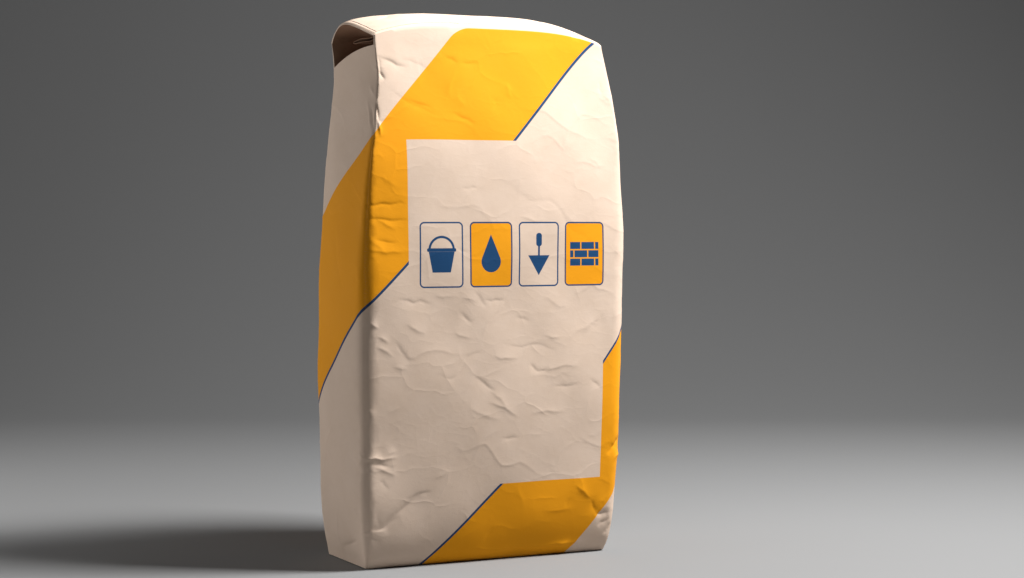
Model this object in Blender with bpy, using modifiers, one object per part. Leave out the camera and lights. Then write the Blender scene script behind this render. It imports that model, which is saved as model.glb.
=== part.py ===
# Filled paper valve sack of dry cement and sand mix, standing on its bottom end.
# Metres, +Z up. X is the width, Y the depth with the printed front towards -Y.
# The origin is the centre of the base, on the floor. The filling valve is in the top corner at -X.

import math

import bmesh
import bpy

# Outside of the filled sack
SACK_HEIGHT = 0.488
TOP_WIDTH = 0.234
TOP_DEPTH = 0.106
BOTTOM_WIDTH = 0.249
BOTTOM_DEPTH = 0.097
BELLY_WIDTH = 0.2745
BELLY_DEPTH = 0.1315
END_SET_BACK = 0.006
TOP_EDGE_ARCH = 0.0125
TOP_CROWN = 0.0145
FRONT_CROWN = 0.007
SIDE_CROWN = 0.004
VALVE_SIDE_PINCH = 0.0115

# How steeply the arch, the crown and the pinch rise and fall: higher powers stay flat for longer
EDGE_ARCH_POWER = 3.5
CROWN_END_POWER = 6
ROOF_FADE_POWER = 8
PINCH_POWER = 3

# Paper
WALL = 0.0008
PATCH_THICKNESS = 0.0006
PATCH_MARGIN = 0.004
FIT_GAP = 0.0003

# Valve pocket, open on the -X side under the top end
POCKET_DEPTH = 0.035
POCKET_DROP_FRONT = 0.010
POCKET_DROP_BACK = 0.026
POCKET_ROOF_GAP = 0.0022
POCKET_TIP_MARGIN = 0.004
POCKET_MOUTH_POWER = 2.2

# Valve sleeve, a flattened paper tube that leads from the pocket into the mix
SLEEVE_WIDTH = 0.060
SLEEVE_HEIGHT = 0.0034
SLEEVE_WALL = 0.0005
SLEEVE_IN_POCKET = 0.022
SLEEVE_IN_MIX = 0.055
SLEEVE_BELOW_CORNER = 0.001

# Cage stations: share of the height, how full the sack is there from end size 0 to belly size 1,
# and how far its back corner is drawn in below the valve pocket
HEIGHT_STATIONS = (
    (0.0, 0.0, 0.0),
    (0.035, 0.42, 0.0),
    (0.13, 0.70, 0.0),
    (0.28, 0.90, 0.0),
    (0.46, 1.0, 0.1),
    (0.62, 1.0, 0.5),
    (0.74, 0.90, 0.9),
    (0.84, 0.64, 1.0),
    (0.94, 0.27, 0.85),
    (1.0, 0.0, 0.0),
)
WIDTH_STATIONS = (-1.0, -0.82, -0.45, 0.0, 0.45, 0.82, 1.0)
DEPTH_STATIONS = (-1.0, -0.55, 0.0, 0.55, 1.0)
POCKET_CUTS_INWARD = (0.0, 0.5)
POCKET_CUTS_ALONG = (-0.6, 0.0, 0.6)
END_CREASE = 1.0
BELLY_CREASE = 0.15
CREASED_SHARE = 0.12
ON_SIDE = 0.999
SHARP_ANGLE = math.radians(35)

# Helper shapes run this far past what they cut
OVERRUN = 0.005

BASE_LIFT = PATCH_THICKNESS + FIT_GAP
TOP_CORNER_Z = BASE_LIFT + SACK_HEIGHT
SLEEVE_Z = TOP_CORNER_Z - SLEEVE_BELOW_CORNER
MOUTH_X = -TOP_WIDTH / 2
POCKET_TIP_X = MOUTH_X + POCKET_DEPTH


def clear_scene():
    for obj in list(bpy.data.objects):
        bpy.data.objects.remove(obj, do_unlink=True)


def new_collection(name, hidden):
    collection = bpy.data.collections.new(name)
    collection.hide_render = hidden
    bpy.context.scene.collection.children.link(collection)
    return collection


def new_material(name, colour, roughness):
    material = bpy.data.materials.new(name)
    material.use_nodes = True
    shader = material.node_tree.nodes["Principled BSDF"]
    shader.inputs["Base Color"].default_value = (*colour, 1.0)
    shader.inputs["Roughness"].default_value = roughness
    shader.inputs["Metallic"].default_value = 0.0
    return material


def new_object(name, mesh, collection, material=None):
    obj = bpy.data.objects.new(name, mesh)
    collection.objects.link(obj)
    if material:
        mesh.materials.append(material)
    return obj


def new_cutter(name, mesh, collection):
    obj = new_object(name, mesh, collection)
    obj.hide_render = True
    obj.display_type = "WIRE"
    return obj


def add_boolean(obj, cutter):
    modifier = obj.modifiers.new(cutter.name, "BOOLEAN")
    modifier.operation = "DIFFERENCE"
    modifier.solver = "EXACT"
    modifier.object = cutter


def between(low, high, share):
    return low + (high - low) * share


def station_at(share):
    """Fullness and pinch at a share of the height, between the stations on either side of it."""
    for low, high in zip(HEIGHT_STATIONS, HEIGHT_STATIONS[1:]):
        if share <= high[0]:
            part = (share - low[0]) / (high[0] - low[0])
            return between(low[1], high[1], part), between(low[2], high[2], part)
    return HEIGHT_STATIONS[-1][1:]


def roof_rise(across, along):
    """Height of the top end over its corners. The crown runs out at the closed end, not at the valve."""
    edge = TOP_EDGE_ARCH * (1 - abs(across) ** EDGE_ARCH_POWER)
    crown = TOP_CROWN * (1 - along**2) * (1 - max(0.0, across) ** CROWN_END_POWER)
    return edge + crown


def sack_point(across, along, share, inset):
    """A point of the sack's surface, moved in by inset, from its place in the grid's cube."""
    full, pinch = station_at(share)
    end_width = between(BOTTOM_WIDTH, TOP_WIDTH, share)
    end_depth = between(BOTTOM_DEPTH, TOP_DEPTH, share)
    half_width = between(end_width, BELLY_WIDTH, full) / 2 - inset
    half_depth = between(end_depth, BELLY_DEPTH, full) / 2 - inset
    half_width += SIDE_CROWN * full * (1 - along**2)
    half_depth += FRONT_CROWN * full * (1 - across**2)
    valve_side = max(0.0, -across) ** PINCH_POWER * (1 + along) / 2
    x = across * half_width + VALVE_SIDE_PINCH * pinch * valve_side
    y = along * half_depth + END_SET_BACK * (1 - full)
    low = BASE_LIFT + inset
    high = TOP_CORNER_Z - inset
    z = between(low, high, share) + roof_rise(across, along) * share**ROOF_FADE_POWER
    return x, y, z


def cut_at_stations(grid, cuts_by_axis):
    for axis, cuts in enumerate(cuts_by_axis):
        normal = [0.0, 0.0, 0.0]
        normal[axis] = 1.0
        for cut in cuts:
            place = [value * cut for value in normal]
            geometry = grid.verts[:] + grid.edges[:] + grid.faces[:]
            bmesh.ops.bisect_plane(grid, geom=geometry, plane_co=place, plane_no=normal)


def cube_grid(cuts_x, cuts_y, cuts_z):
    """A closed cube from -1 to 1 in x and y and 0 to 1 in z, cut at the stations given."""
    grid = bmesh.new()
    bmesh.ops.create_cube(grid, size=2.0)
    for vertex in grid.verts:
        vertex.co.z = (vertex.co.z + 1) / 2
    cut_at_stations(grid, (cuts_x, cuts_y, cuts_z))
    return grid


def finished_mesh(grid, name):
    bmesh.ops.recalc_face_normals(grid, faces=grid.faces[:])
    mesh = bpy.data.meshes.new(name)
    grid.to_mesh(mesh)
    grid.free()
    return mesh


def crease_of(edge):
    """Crease of a cage edge: full on the end folds, fading down the upright folds towards the belly."""
    first, second = (vertex.co for vertex in edge.verts)
    on_side = [axis for axis in (0, 1) if min(abs(first[axis]), abs(second[axis])) > ON_SIDE]
    on_side = [axis for axis in on_side if first[axis] * second[axis] > 0]
    on_end = first.z == second.z and first.z in (0.0, 1.0)
    if on_end and on_side:
        return END_CREASE
    if len(on_side) < 2:
        return 0.0
    from_end = min((first.z + second.z) / 2, 1 - (first.z + second.z) / 2)
    return between(END_CREASE, BELLY_CREASE, min(1.0, from_end / CREASED_SHARE))


def sack_form(name, inset):
    """The filled sack's outer form, or a smaller copy of it that lies inset inside."""
    heights = [station[0] for station in HEIGHT_STATIONS[1:-1]]
    grid = cube_grid(WIDTH_STATIONS[1:-1], DEPTH_STATIONS[1:-1], heights)
    crease_layer = grid.edges.layers.float.new("crease_edge")
    for edge in grid.edges:
        edge[crease_layer] = crease_of(edge)
    for vertex in grid.verts:
        vertex.co = sack_point(*vertex.co, inset)
    return finished_mesh(grid, name)


def add_subdivision(obj):
    modifier = obj.modifiers.new("soft_form", "SUBSURF")
    modifier.levels = 1
    modifier.render_levels = 1
    split_alike(obj)


def split_alike(obj):
    """Splits each bent quad along the same diagonal in every layer, so that layers keep their gap."""
    modifier = obj.modifiers.new("split", "TRIANGULATE")
    modifier.quad_method = "FIXED"


def pocket_drop(along):
    """How far the pocket's mouth reaches below the top corners, from the front fold to the back fold."""
    from_front = (along + 1) / 2
    return POCKET_DROP_FRONT + (POCKET_DROP_BACK - POCKET_DROP_FRONT) * from_front**POCKET_MOUTH_POWER


def pocket_point(inward, along, upward, grow):
    """A point of the valve pocket's wedge: inward is -1 outside the mouth, 0 in it and 1 at the tip."""
    taper = max(0.0, inward)
    x = MOUTH_X + inward * (POCKET_DEPTH + grow if inward > 0 else OVERRUN)
    mouth_half = TOP_DEPTH / 2 - WALL - FIT_GAP
    tip_half = SLEEVE_WIDTH / 2 + POCKET_TIP_MARGIN
    y = along * (between(mouth_half, tip_half, taper) + grow) + END_SET_BACK
    across = between(-1.0, -POCKET_TIP_X / MOUTH_X, taper)
    roof = TOP_CORNER_Z + roof_rise(across, along) - WALL - POCKET_ROOF_GAP
    tip_roof = SLEEVE_Z + SLEEVE_HEIGHT / 2 + POCKET_TIP_MARGIN
    tip_floor = SLEEVE_Z - SLEEVE_HEIGHT / 2 - POCKET_TIP_MARGIN
    top = between(roof, min(roof, tip_roof), taper) + grow
    floor = between(TOP_CORNER_Z - pocket_drop(along), tip_floor, taper) - grow
    return x, y, between(floor, top, upward)


def pocket_cutter(name, grow, cutters):
    grid = cube_grid(POCKET_CUTS_INWARD, POCKET_CUTS_ALONG, ())
    for vertex in grid.verts:
        vertex.co = pocket_point(*vertex.co, grow)
    cutter = new_cutter(name, finished_mesh(grid, name), cutters)
    split_alike(cutter)
    return cutter


def box_mesh(name, low, high):
    box = bmesh.new()
    bmesh.ops.create_cube(box, size=1.0)
    for vertex in box.verts:
        vertex.co = [between(a, b, value + 0.5) for a, b, value in zip(low, high, vertex.co)]
    return finished_mesh(box, name)


def sleeve_box(name, grow, start_x, end_x):
    half_width = SLEEVE_WIDTH / 2 + grow
    half_height = SLEEVE_HEIGHT / 2 + grow
    low = (start_x, END_SET_BACK - half_width, SLEEVE_Z - half_height)
    high = (end_x, END_SET_BACK + half_width, SLEEVE_Z + half_height)
    return box_mesh(name, low, high)


def make_paper_sack(parts, cutters, material):
    """The pasted paper sack: four walls and two folded ends around one hollow, with the valve pocket."""
    sack = new_object("paper_sack", sack_form("paper_sack", 0.0), parts, material)
    add_subdivision(sack)
    hollow = new_cutter("hollow", sack_form("hollow", WALL), cutters)
    add_subdivision(hollow)
    lining = pocket_cutter("pocket_lining", WALL, cutters)
    add_boolean(hollow, lining)
    pocket = pocket_cutter("pocket", 0.0, cutters)
    slot_start = POCKET_TIP_X - OVERRUN / 2
    slot_end = POCKET_TIP_X + OVERRUN
    slot = new_cutter("sleeve_slot", sleeve_box("sleeve_slot", FIT_GAP, slot_start, slot_end), cutters)
    for cutter in (hollow, pocket, slot):
        add_boolean(sack, cutter)
    sack.data.shade_smooth()
    sack.data.set_sharp_from_angle(angle=SHARP_ANGLE)
    return sack


def make_dry_mix(parts, cutters, material):
    """The cement and sand that fills the sack, up to its walls and round the valve."""
    mix = new_object("dry_mix", sack_form("dry_mix", WALL + FIT_GAP), parts, material)
    add_subdivision(mix)
    pocket_room = pocket_cutter("pocket_room", WALL + FIT_GAP, cutters)
    room_end = POCKET_TIP_X + SLEEVE_IN_MIX + FIT_GAP
    room_mesh = sleeve_box("sleeve_room", FIT_GAP, POCKET_TIP_X, room_end)
    sleeve_room = new_cutter("sleeve_room", room_mesh, cutters)
    for cutter in (pocket_room, sleeve_room):
        add_boolean(mix, cutter)
    mix.data.shade_smooth()
    mix.data.set_sharp_from_angle(angle=SHARP_ANGLE)
    return mix


def make_valve_sleeve(parts, material):
    """The flattened paper tube of the valve, open at both ends."""
    start_x = POCKET_TIP_X - SLEEVE_IN_POCKET
    end_x = POCKET_TIP_X + SLEEVE_IN_MIX
    mesh = sleeve_box("valve_sleeve", 0.0, start_x, end_x)
    tube = bmesh.new()
    tube.from_mesh(mesh)
    ends = [face for face in tube.faces if abs(face.normal.x) > 0.5]
    bmesh.ops.delete(tube, geom=ends, context="FACES_ONLY")
    tube.to_mesh(mesh)
    tube.free()
    sleeve = new_object("valve_sleeve", mesh, parts, material)
    solidify = sleeve.modifiers.new("paper", "SOLIDIFY")
    solidify.thickness = SLEEVE_WALL
    solidify.offset = -1.0
    solidify.use_even_offset = True
    return sleeve


def make_top_cover_patch(parts, material):
    """The paper strip pasted over the domed top end, a layer that follows the roof."""
    reach = (1 - PATCH_MARGIN / (TOP_WIDTH / 2), 1 - PATCH_MARGIN / (TOP_DEPTH / 2))
    grid = bmesh.new()
    bmesh.ops.create_grid(grid, x_segments=1, y_segments=1, size=1.0)
    cut_at_stations(grid, (WIDTH_STATIONS[1:-1], DEPTH_STATIONS[1:-1]))
    for vertex in grid.verts:
        across, along = (max(-end, min(end, value)) for value, end in zip(vertex.co, reach))
        vertex.co = sack_point(across, along, 1.0, -FIT_GAP)
    patch = new_object("top_cover_patch", finished_mesh(grid, "top_cover_patch"), parts, material)
    add_subdivision(patch)
    solidify = patch.modifiers.new("paper", "SOLIDIFY")
    solidify.thickness = PATCH_THICKNESS
    solidify.offset = 1.0
    patch.data.shade_smooth()
    return patch


def make_bottom_cover_patch(parts, material):
    """The flat paper strip pasted over the bottom end, which the sack stands on."""
    half_width = BOTTOM_WIDTH / 2 - PATCH_MARGIN
    half_depth = BOTTOM_DEPTH / 2 - PATCH_MARGIN
    low = (-half_width, END_SET_BACK - half_depth, 0.0)
    high = (half_width, END_SET_BACK + half_depth, PATCH_THICKNESS)
    return new_object("bottom_cover_patch", box_mesh("bottom_cover_patch", low, high), parts, material)


def main():
    clear_scene()
    parts = new_collection("cement_sack", False)
    cutters = new_collection("cutters", True)
    paper = new_material("sack_paper", (0.62, 0.52, 0.42), 0.75)
    patch_paper = new_material("patch_paper", (0.60, 0.50, 0.40), 0.75)
    kraft = new_material("kraft_paper", (0.22, 0.12, 0.07), 0.80)
    cement = new_material("dry_cement_mix", (0.30, 0.29, 0.27), 0.95)
    make_paper_sack(parts, cutters, paper)
    make_dry_mix(parts, cutters, cement)
    make_valve_sleeve(parts, kraft)
    make_top_cover_patch(parts, patch_paper)
    make_bottom_cover_patch(parts, patch_paper)


main()
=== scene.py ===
import math

import bmesh
import bpy
import numpy as np
from bpy.props import (
    FloatProperty,
    FloatVectorProperty,
    IntProperty,
    IntVectorProperty,
    PointerProperty,
)
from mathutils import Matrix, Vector


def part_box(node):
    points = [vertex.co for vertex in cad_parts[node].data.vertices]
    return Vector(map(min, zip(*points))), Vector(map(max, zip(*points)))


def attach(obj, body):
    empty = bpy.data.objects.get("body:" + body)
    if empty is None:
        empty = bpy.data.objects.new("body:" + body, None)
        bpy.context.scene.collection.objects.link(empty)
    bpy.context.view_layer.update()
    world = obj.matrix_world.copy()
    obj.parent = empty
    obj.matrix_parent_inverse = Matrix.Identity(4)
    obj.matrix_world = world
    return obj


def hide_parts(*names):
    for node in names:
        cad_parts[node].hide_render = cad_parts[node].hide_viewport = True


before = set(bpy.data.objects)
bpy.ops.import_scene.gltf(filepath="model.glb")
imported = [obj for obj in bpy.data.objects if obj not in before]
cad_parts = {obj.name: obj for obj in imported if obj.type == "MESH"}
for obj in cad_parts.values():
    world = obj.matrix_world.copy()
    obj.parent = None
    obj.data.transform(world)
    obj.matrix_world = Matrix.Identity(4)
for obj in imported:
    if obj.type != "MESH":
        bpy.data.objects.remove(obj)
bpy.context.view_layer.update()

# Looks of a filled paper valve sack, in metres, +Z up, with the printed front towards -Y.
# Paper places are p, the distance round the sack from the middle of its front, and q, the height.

bl_info = {
    "name": "Filled Valve Sack",
    "version": (1, 0, 0),
    "blender": (4, 5, 0),
    "location": "3D View > Sidebar > Sack",
    "description": "Dresses a filled paper valve sack with its creased, printed paper",
    "category": "Object",
}

SACK_LOW, SACK_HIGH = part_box("paper_sack")
ROOF_LOW, ROOF_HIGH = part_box("top_cover_patch")
BASE_LOW, BASE_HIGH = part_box("bottom_cover_patch")
SLEEVE_LOW, SLEEVE_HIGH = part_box("valve_sleeve")

# Form of the folded ends and the sides between them
END_MIDDLE_Y = (BASE_LOW.y + BASE_HIGH.y) / 2
BOTTOM_Z = SACK_LOW.z
FRONT_CROWN = 0.007
SIDE_CROWN = 0.004
ROOF_ARCH = 0.0122
ARCH_POWER = 3.5
ROOF_CROWN = 0.0131
CROWN_POWER = 6
MOUTH_RISE = 0.028
MOUTH_POWER = 5
# Change from the crown to the mouth's rise across the roof: its slope and its start
MOUTH_BLEND = (-1.6, -0.6)
# How fast the roof's rise fades below the top end
ROOF_POWER = 8
TOP_Z = SACK_HIGH.z - ROOF_ARCH - ROOF_CROWN
VALVE_SIDE_PINCH = 0.0115
VALVE_SIDE_POWER = 3
FOLD_SOFTENING = 0.0007
# Upright folds' radius as a share of the profile's: front and back at the valve, then away from it
FOLD_RADIUS_SHARES = ((0.5, 1.0), (0.6, 0.8))

# Share of the height, fullness from 0 at an end to 1 at the belly, pinch at the valve, folds' radius
PROFILE = (
    (0.0, 0.0, 0.0, 0.005),
    (0.035, 0.42, 0.0, 0.014),
    (0.13, 0.70, 0.0, 0.018),
    (0.28, 0.90, 0.0, 0.019),
    (0.46, 1.0, 0.1, 0.024),
    (0.62, 1.0, 0.5, 0.021),
    (0.74, 0.90, 0.9, 0.012),
    (0.84, 0.64, 1.0, 0.005),
    (0.94, 0.27, 0.85, 0.002),
    (1.0, 0.0, 0.0, 0.0015),
)

# How far the front fold at the valve stands in from the profile, at shares of the height
FOLD_SHIFT_POWER = 8
FOLD_SHIFT = (
    (0.50, 0.0),
    (0.62, 0.0005),
    (0.70, 0.0030),
    (0.76, 0.0048),
    (0.82, 0.0082),
    (0.88, 0.0086),
    (0.93, 0.0084),
    (0.96, 0.0036),
    (1.0, 0.0),
)

# Valve pocket: its mouth in the -X side, under the top end
POCKET_DEPTH = 0.035
POCKET_DROP_FRONT = 0.010
POCKET_DROP_BACK = 0.026
POCKET_DROP_POWER = 2.2
POCKET_WALL = 0.0011
POCKET_ROOF = 0.0020
POCKET_TIP_HALF = 0.034
POCKET_TIP_LOW = 0.0065
POCKET_TIP_HIGH = 0.0055
POCKET_CALM = 0.012
POCKET_CALM_BELOW = 0.004
# How fast the roof and the floor of the pocket come together, and the turns of its sag in and along
POCKET_ROOF_POWER = 1.4
POCKET_FLOOR_POWER = 0.8
POCKET_SAG_TURNS = (9, 4)
POCKET_CELLS = (6, 7, 2)
POCKET_OUTWARD = -0.35
POCKET_SAG = 0.0015
POCKET_CRUMPLE = 0.0010
POCKET_CRUMPLE_LENGTH = 0.022
POCKET_CRUMPLE_RISE = 3
POCKET_SEED = 3

# Print on the flat paper. A band's edge is q where p is 0, and the slope; the bare panel is its corners.
SIDE_FOLD = 0.140
SIDE_FOLD_ROUND = 0.022
SIDE_SHARE_LOW = 1.02
SIDE_SHARE_FALL = 1.18
UPPER_BAND_HIGH = (0.5181, 0.95)
UPPER_BAND_LOW = (0.3745, 1.03)
LOWER_BAND_HIGH = (0.0726, 0.99)
LOWER_BAND_LOW = (-0.0973, 1.22)
# Beyond this p the lower band's high edge rises faster, by this much more for each metre
HIGH_EDGE_LEAN = (0.095, 0.34)
BAND_TOP = 0.4862
BAND_CORNER = 0.008
PANEL_LOW = (-0.0922, 0.0743)
PANEL_HIGH = (0.1095, 0.3914)
# Row of four small pictures: middle of the first, step to the next, half width and half height of each
PICTURE_FIRST = (-0.0605, 0.2880)
PICTURE_STEP = 0.0492
PICTURE_HALF = (0.0212, 0.0300)
PICTURE_CORNER = 0.0045
PICTURE_LINE = 0.0014
INK_EDGE = 0.0004
FAR_OFF_PRINT = 10.0

# Creases given one by one: the middle's p and q, angle in degrees, half length, height, width above and
# below
HAND_CREASES = (
    (-0.1235, 0.1045, -9, 0.022, 0.00080, 0.0022, 0.0016),
    (-0.1200, 0.0990, -17, 0.015, -0.00050, 0.0018, 0.0040),
    (-0.1150, 0.0925, -26, 0.014, 0.00050, 0.0050, 0.0018),
    (-0.1240, 0.0362, 6, 0.016, 0.00070, 0.0014, 0.0060),
    (-0.1150, 0.0405, 21, 0.022, -0.00095, 0.0042, 0.0080),
    (-0.0960, 0.0540, 40, 0.024, -0.00085, 0.0040, 0.0080),
    (0.1260, 0.1040, 38, 0.013, -0.00140, 0.0026, 0.0050),
    (0.1340, 0.0950, 20, 0.012, 0.00090, 0.0030, 0.0026),
    (0.1150, 0.0390, 5, 0.008, -0.00120, 0.0026, 0.0030),
    (0.1410, 0.0230, -72, 0.014, -0.00160, 0.0030, 0.0040),
    (0.0690, 0.0110, 3, 0.045, 0.00100, 0.0030, 0.0040),
    (0.0100, 0.0120, -2, 0.040, 0.00070, 0.0030, 0.0040),
    (-0.1600, 0.0200, 15, 0.020, -0.00110, 0.0030, 0.0060),
    (-0.0883, 0.2446, -10, 0.0195, -0.00030, 0.0014, 0.0050),
    (-0.0359, 0.2312, -42, 0.0087, -0.00030, 0.0014, 0.0040),
    (-0.0332, 0.2483, -17, 0.0085, 0.00022, 0.0050, 0.0014),
    (-0.0069, 0.2475, -1, 0.0127, -0.00025, 0.0012, 0.0040),
    (-0.1166, 0.2125, -33, 0.0073, 0.00035, 0.0040, 0.0014),
    (-0.0991, 0.2013, -51, 0.0116, -0.00030, 0.0014, 0.0050),
    (-0.0857, 0.2197, -22, 0.0112, 0.00028, 0.0060, 0.0014),
    (-0.0401, 0.2137, -18, 0.0103, 0.00022, 0.0050, 0.0014),
    (0.0218, 0.2282, -22, 0.0086, -0.00022, 0.0014, 0.0040),
    (0.0542, 0.2107, -4, 0.0129, 0.00022, 0.0050, 0.0014),
    (0.1043, 0.2253, 35, 0.0104, -0.00030, 0.0014, 0.0060),
    (0.0042, 0.1927, -13, 0.0150, 0.00030, 0.0060, 0.0014),
    (-0.0177, 0.1686, -33, 0.0146, -0.00032, 0.0014, 0.0050),
    (0.0596, 0.1808, 7, 0.0248, 0.00030, 0.0070, 0.0014),
    (0.1022, 0.1645, -34, 0.0098, -0.00030, 0.0014, 0.0040),
    (-0.1021, 0.1872, -9, 0.0073, 0.00022, 0.0050, 0.0014),
    (-0.1133, 0.3014, -14, 0.0115, -0.00035, 0.0014, 0.0050),
    (-0.1122, 0.3167, -26, 0.0112, 0.00030, 0.0050, 0.0014),
    (-0.1140, 0.2917, -5, 0.0200, 0.00045, 0.0070, 0.0018),
    (-0.1255, 0.2253, -27, 0.0060, 0.00050, 0.0040, 0.0016),
    (0.0018, 0.1452, -25, 0.0199, 0.00038, 0.0070, 0.0016),
    (0.0500, 0.1389, 5, 0.0210, 0.00028, 0.0060, 0.0014),
    (0.0692, 0.1637, 6, 0.0155, -0.00028, 0.0014, 0.0050),
    (0.0103, 0.1180, -1, 0.0102, -0.00028, 0.0014, 0.0040),
    (-0.0782, 0.0669, 9, 0.0128, -0.00035, 0.0014, 0.0050),
    (-0.0577, 0.0851, 23, 0.0092, 0.00022, 0.0050, 0.0014),
    (-0.1144, 0.0801, -44, 0.0090, -0.00022, 0.0014, 0.0050),
    (-0.0181, 0.1415, -21, 0.0215, 0.00022, 0.0080, 0.0018),
    (0.0912, 0.0617, -42, 0.0137, 0.00060, 0.0050, 0.0016),
    (0.1051, 0.0455, -63, 0.0080, -0.00060, 0.0016, 0.0040),
    (0.0640, 0.0452, 2, 0.0164, 0.00025, 0.0050, 0.0014),
    (-0.1035, 0.4645, -15, 0.0190, -0.00060, 0.0014, 0.0060),
    (-0.1170, 0.4507, -42, 0.0060, -0.00080, 0.0014, 0.0030),
    (-0.0790, 0.4628, -19, 0.0180, -0.00018, 0.0012, 0.0050),
    (-0.0850, 0.4270, -23, 0.0340, -0.00016, 0.0012, 0.0050),
    (-0.0778, 0.4266, -18, 0.0140, -0.00028, 0.0014, 0.0060),
    (-0.0364, 0.4131, -26, 0.0130, -0.00028, 0.0014, 0.0060),
    (-0.0426, 0.4680, -31, 0.0083, -0.00030, 0.0014, 0.0060),
    (-0.0243, 0.4643, 1, 0.0120, -0.00025, 0.0014, 0.0060),
    (-0.1330, 0.4370, -46, 0.0090, 0.00065, 0.0040, 0.0014),
    (-0.1390, 0.4143, -80, 0.0170, 0.00080, 0.0030, 0.0014),
    (-0.1330, 0.4104, -81, 0.0140, -0.00100, 0.0014, 0.0030),
    (-0.1250, 0.4190, -74, 0.0120, -0.00090, 0.0014, 0.0026),
    (-0.1215, 0.4035, -70, 0.0090, 0.00090, 0.0020, 0.0014),
    (-0.1190, 0.4600, 90, 0.0105, -0.00050, 0.0012, 0.0018),
    (0.1214, 0.0230, 62, 0.0070, -0.00090, 0.0014, 0.0022),
    (0.0740, 0.0095, 20, 0.0120, 0.00080, 0.0022, 0.0030),
    (0.1170, 0.0310, 24, 0.0080, -0.00060, 0.0014, 0.0030),
    (0.0357, 0.1808, -36, 0.0065, -0.00032, 0.0012, 0.0030),
    (0.0440, 0.1796, 20, 0.0070, -0.00028, 0.0012, 0.0030),
    (0.0906, 0.2182, 30, 0.0290, 0.00018, 0.0060, 0.0014),
    (-0.1180, 0.3345, 4, 0.0260, -0.00042, 0.0011, 0.0045),
    (-0.1150, 0.3215, 3, 0.0240, -0.00042, 0.0011, 0.0050),
    (-0.0030, 0.1536, -46, 0.0140, 0.00024, 0.0050, 0.0014),
    (-0.0209, 0.2475, -52, 0.0110, -0.00022, 0.0012, 0.0040),
)

# Zones of chance creases: how many to the metre of girth, q from and to, angle and spread in degrees,
# shortest and longest half length, least and most height, narrowest and widest steep side
CREASE_ZONES = (
    (95, 0.03, 0.45, -6, 20, 0.008, 0.032, 0.00006, 0.00026, 0.0010, 0.0015),
    (44, 0.06, 0.43, -4, 30, 0.026, 0.070, 0.00012, 0.00032, 0.0011, 0.0017),
    (28, 0.425, 0.482, 90, 38, 0.006, 0.020, 0.0001, 0.0004, 0.0012, 0.0024),
    (34, 0.008, 0.075, 90, 42, 0.006, 0.020, 0.0001, 0.0004, 0.0012, 0.0026),
)
# Pasted seam of the paper tube down the back: where, its step, and how fast it rises and fades
SEAM_ACROSS = 5 / 26
SEAM_STEP = 0.0006
SEAM_SLOPE = 0.0022
SEAM_FADE = 0.050
# Relief of the paper at the ends, as a share, and the heights over which it comes in
END_RELIEF = 0.35
FLOOR_FADE = 0.007
TOP_FADE = 0.010
# How far the creases wander from straight lines, and over what length
WANDER = 0.004
WANDER_LENGTH = 0.05
WANDER_WAVES = 8
HAND_WANDER = 0.3

# Cover patches: their inset from the folded ends, how uneven their edge is, place and sheet of the top one
PATCH_MARGIN = 0.004
PATCH_UNEVEN = 0.0004
PATCH_UNEVEN_SCALE = 0.1
PATCH_UNEVEN_LENGTH = 0.05
PATCH_CELLS = (180, 78)
PATCH_LIFT = 0.0003
PATCH_SHEET = 0.0010
PATCH_RIM = 0.014
PATCH_WAVES = 0.35
# Flaps under the top patch: end tabs' depth, long flaps' overlap and its middle, their step and slope
TAB_DEPTH = 0.046
FLAP_OVERLAP = 0.018
FLAP_MIDDLE = -0.004
FLAP_STEP = 0.00055
FLAP_SLOPE = 0.0026
TAB_SHARE = 0.8
# How far the end tabs' slanting sides stand off the diagonals of the end
TAB_SLANT = 0.002
# Chance creases of the top patch: how many, then least and most half length, height and steep side
ROOF_CREASES = 34
ROOF_CREASE_LENGTH = (0.006, 0.026)
ROOF_CREASE_HEIGHT = (0.0001, 0.0004)
ROOF_CREASE_SHARP = (0.0014, 0.0024)
# Creases of the top patch given one by one: x, y and the rest as in HAND_CREASES
HAND_ROOF_CREASES = (
    (-0.0895, -0.0100, 30, 0.0110, -0.0013, 0.0020, 0.0040),
    (-0.0520, 0.0080, -38, 0.0200, -0.0009, 0.0018, 0.0050),
)
# Chance creases across the upright folds: how many at each, the folds' place as a share of half the girth
FOLD_CREASES = 26
FOLD_SHARE = 0.352
FOLD_SPREAD = 0.009
FOLD_CREASE_REACH = (0.02, 0.47)
FOLD_CREASE_TURN = 30
FOLD_CREASE_LENGTH = (0.005, 0.016)
FOLD_CREASE_LEAST = 0.0001
# Greatest height of those at the valve's side and at the other
FOLD_CREASE_MOST = (0.0005, 0.00025)
FOLD_CREASE_SHARP = (0.0012, 0.0022)
# Where along a crease its line is kinked, and the kinks' size as a share of its half length
KINK_PLACES = (-1.0, -0.65, -0.3, 0.0, 0.3, 0.65, 1.0)
CHANCE_KINK = 0.07
HAND_KINK = 0.035
# Girth that stands for a flat sheet, wider than any sheet here
UNWRAPPED = 1.0
# Factor on the heights of the creases given one by one
HAND_SHARE = 1.35
# How a crease fades to its ends, how many widths off it is followed, the chance that it is a ridge, and
# its gentle side as a multiple of the steep one
CREASE_FADE = 1.3
CREASE_TAIL = 4
RIDGE_CHANCE = 0.7
GENTLE_SIDE = (2.0, 4.5)
# Parts of the mesh's cells that are halved, in turn, where the creases are steepest
FINER_PARTS = (0.40, 0.24)
# What the folds, the seam and the pocket add to a cell's need, as a crease's steepness does
FOLD_NEED = 0.03
SEAM_NEED = 0.15
POCKET_NEED = 0.05
# Reach of a fold's wear across an upright fold and up from an end one, and the scale of the height in it
FOLD_REACH = 0.05
END_REACH = 0.03
END_SCALE = 4
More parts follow.
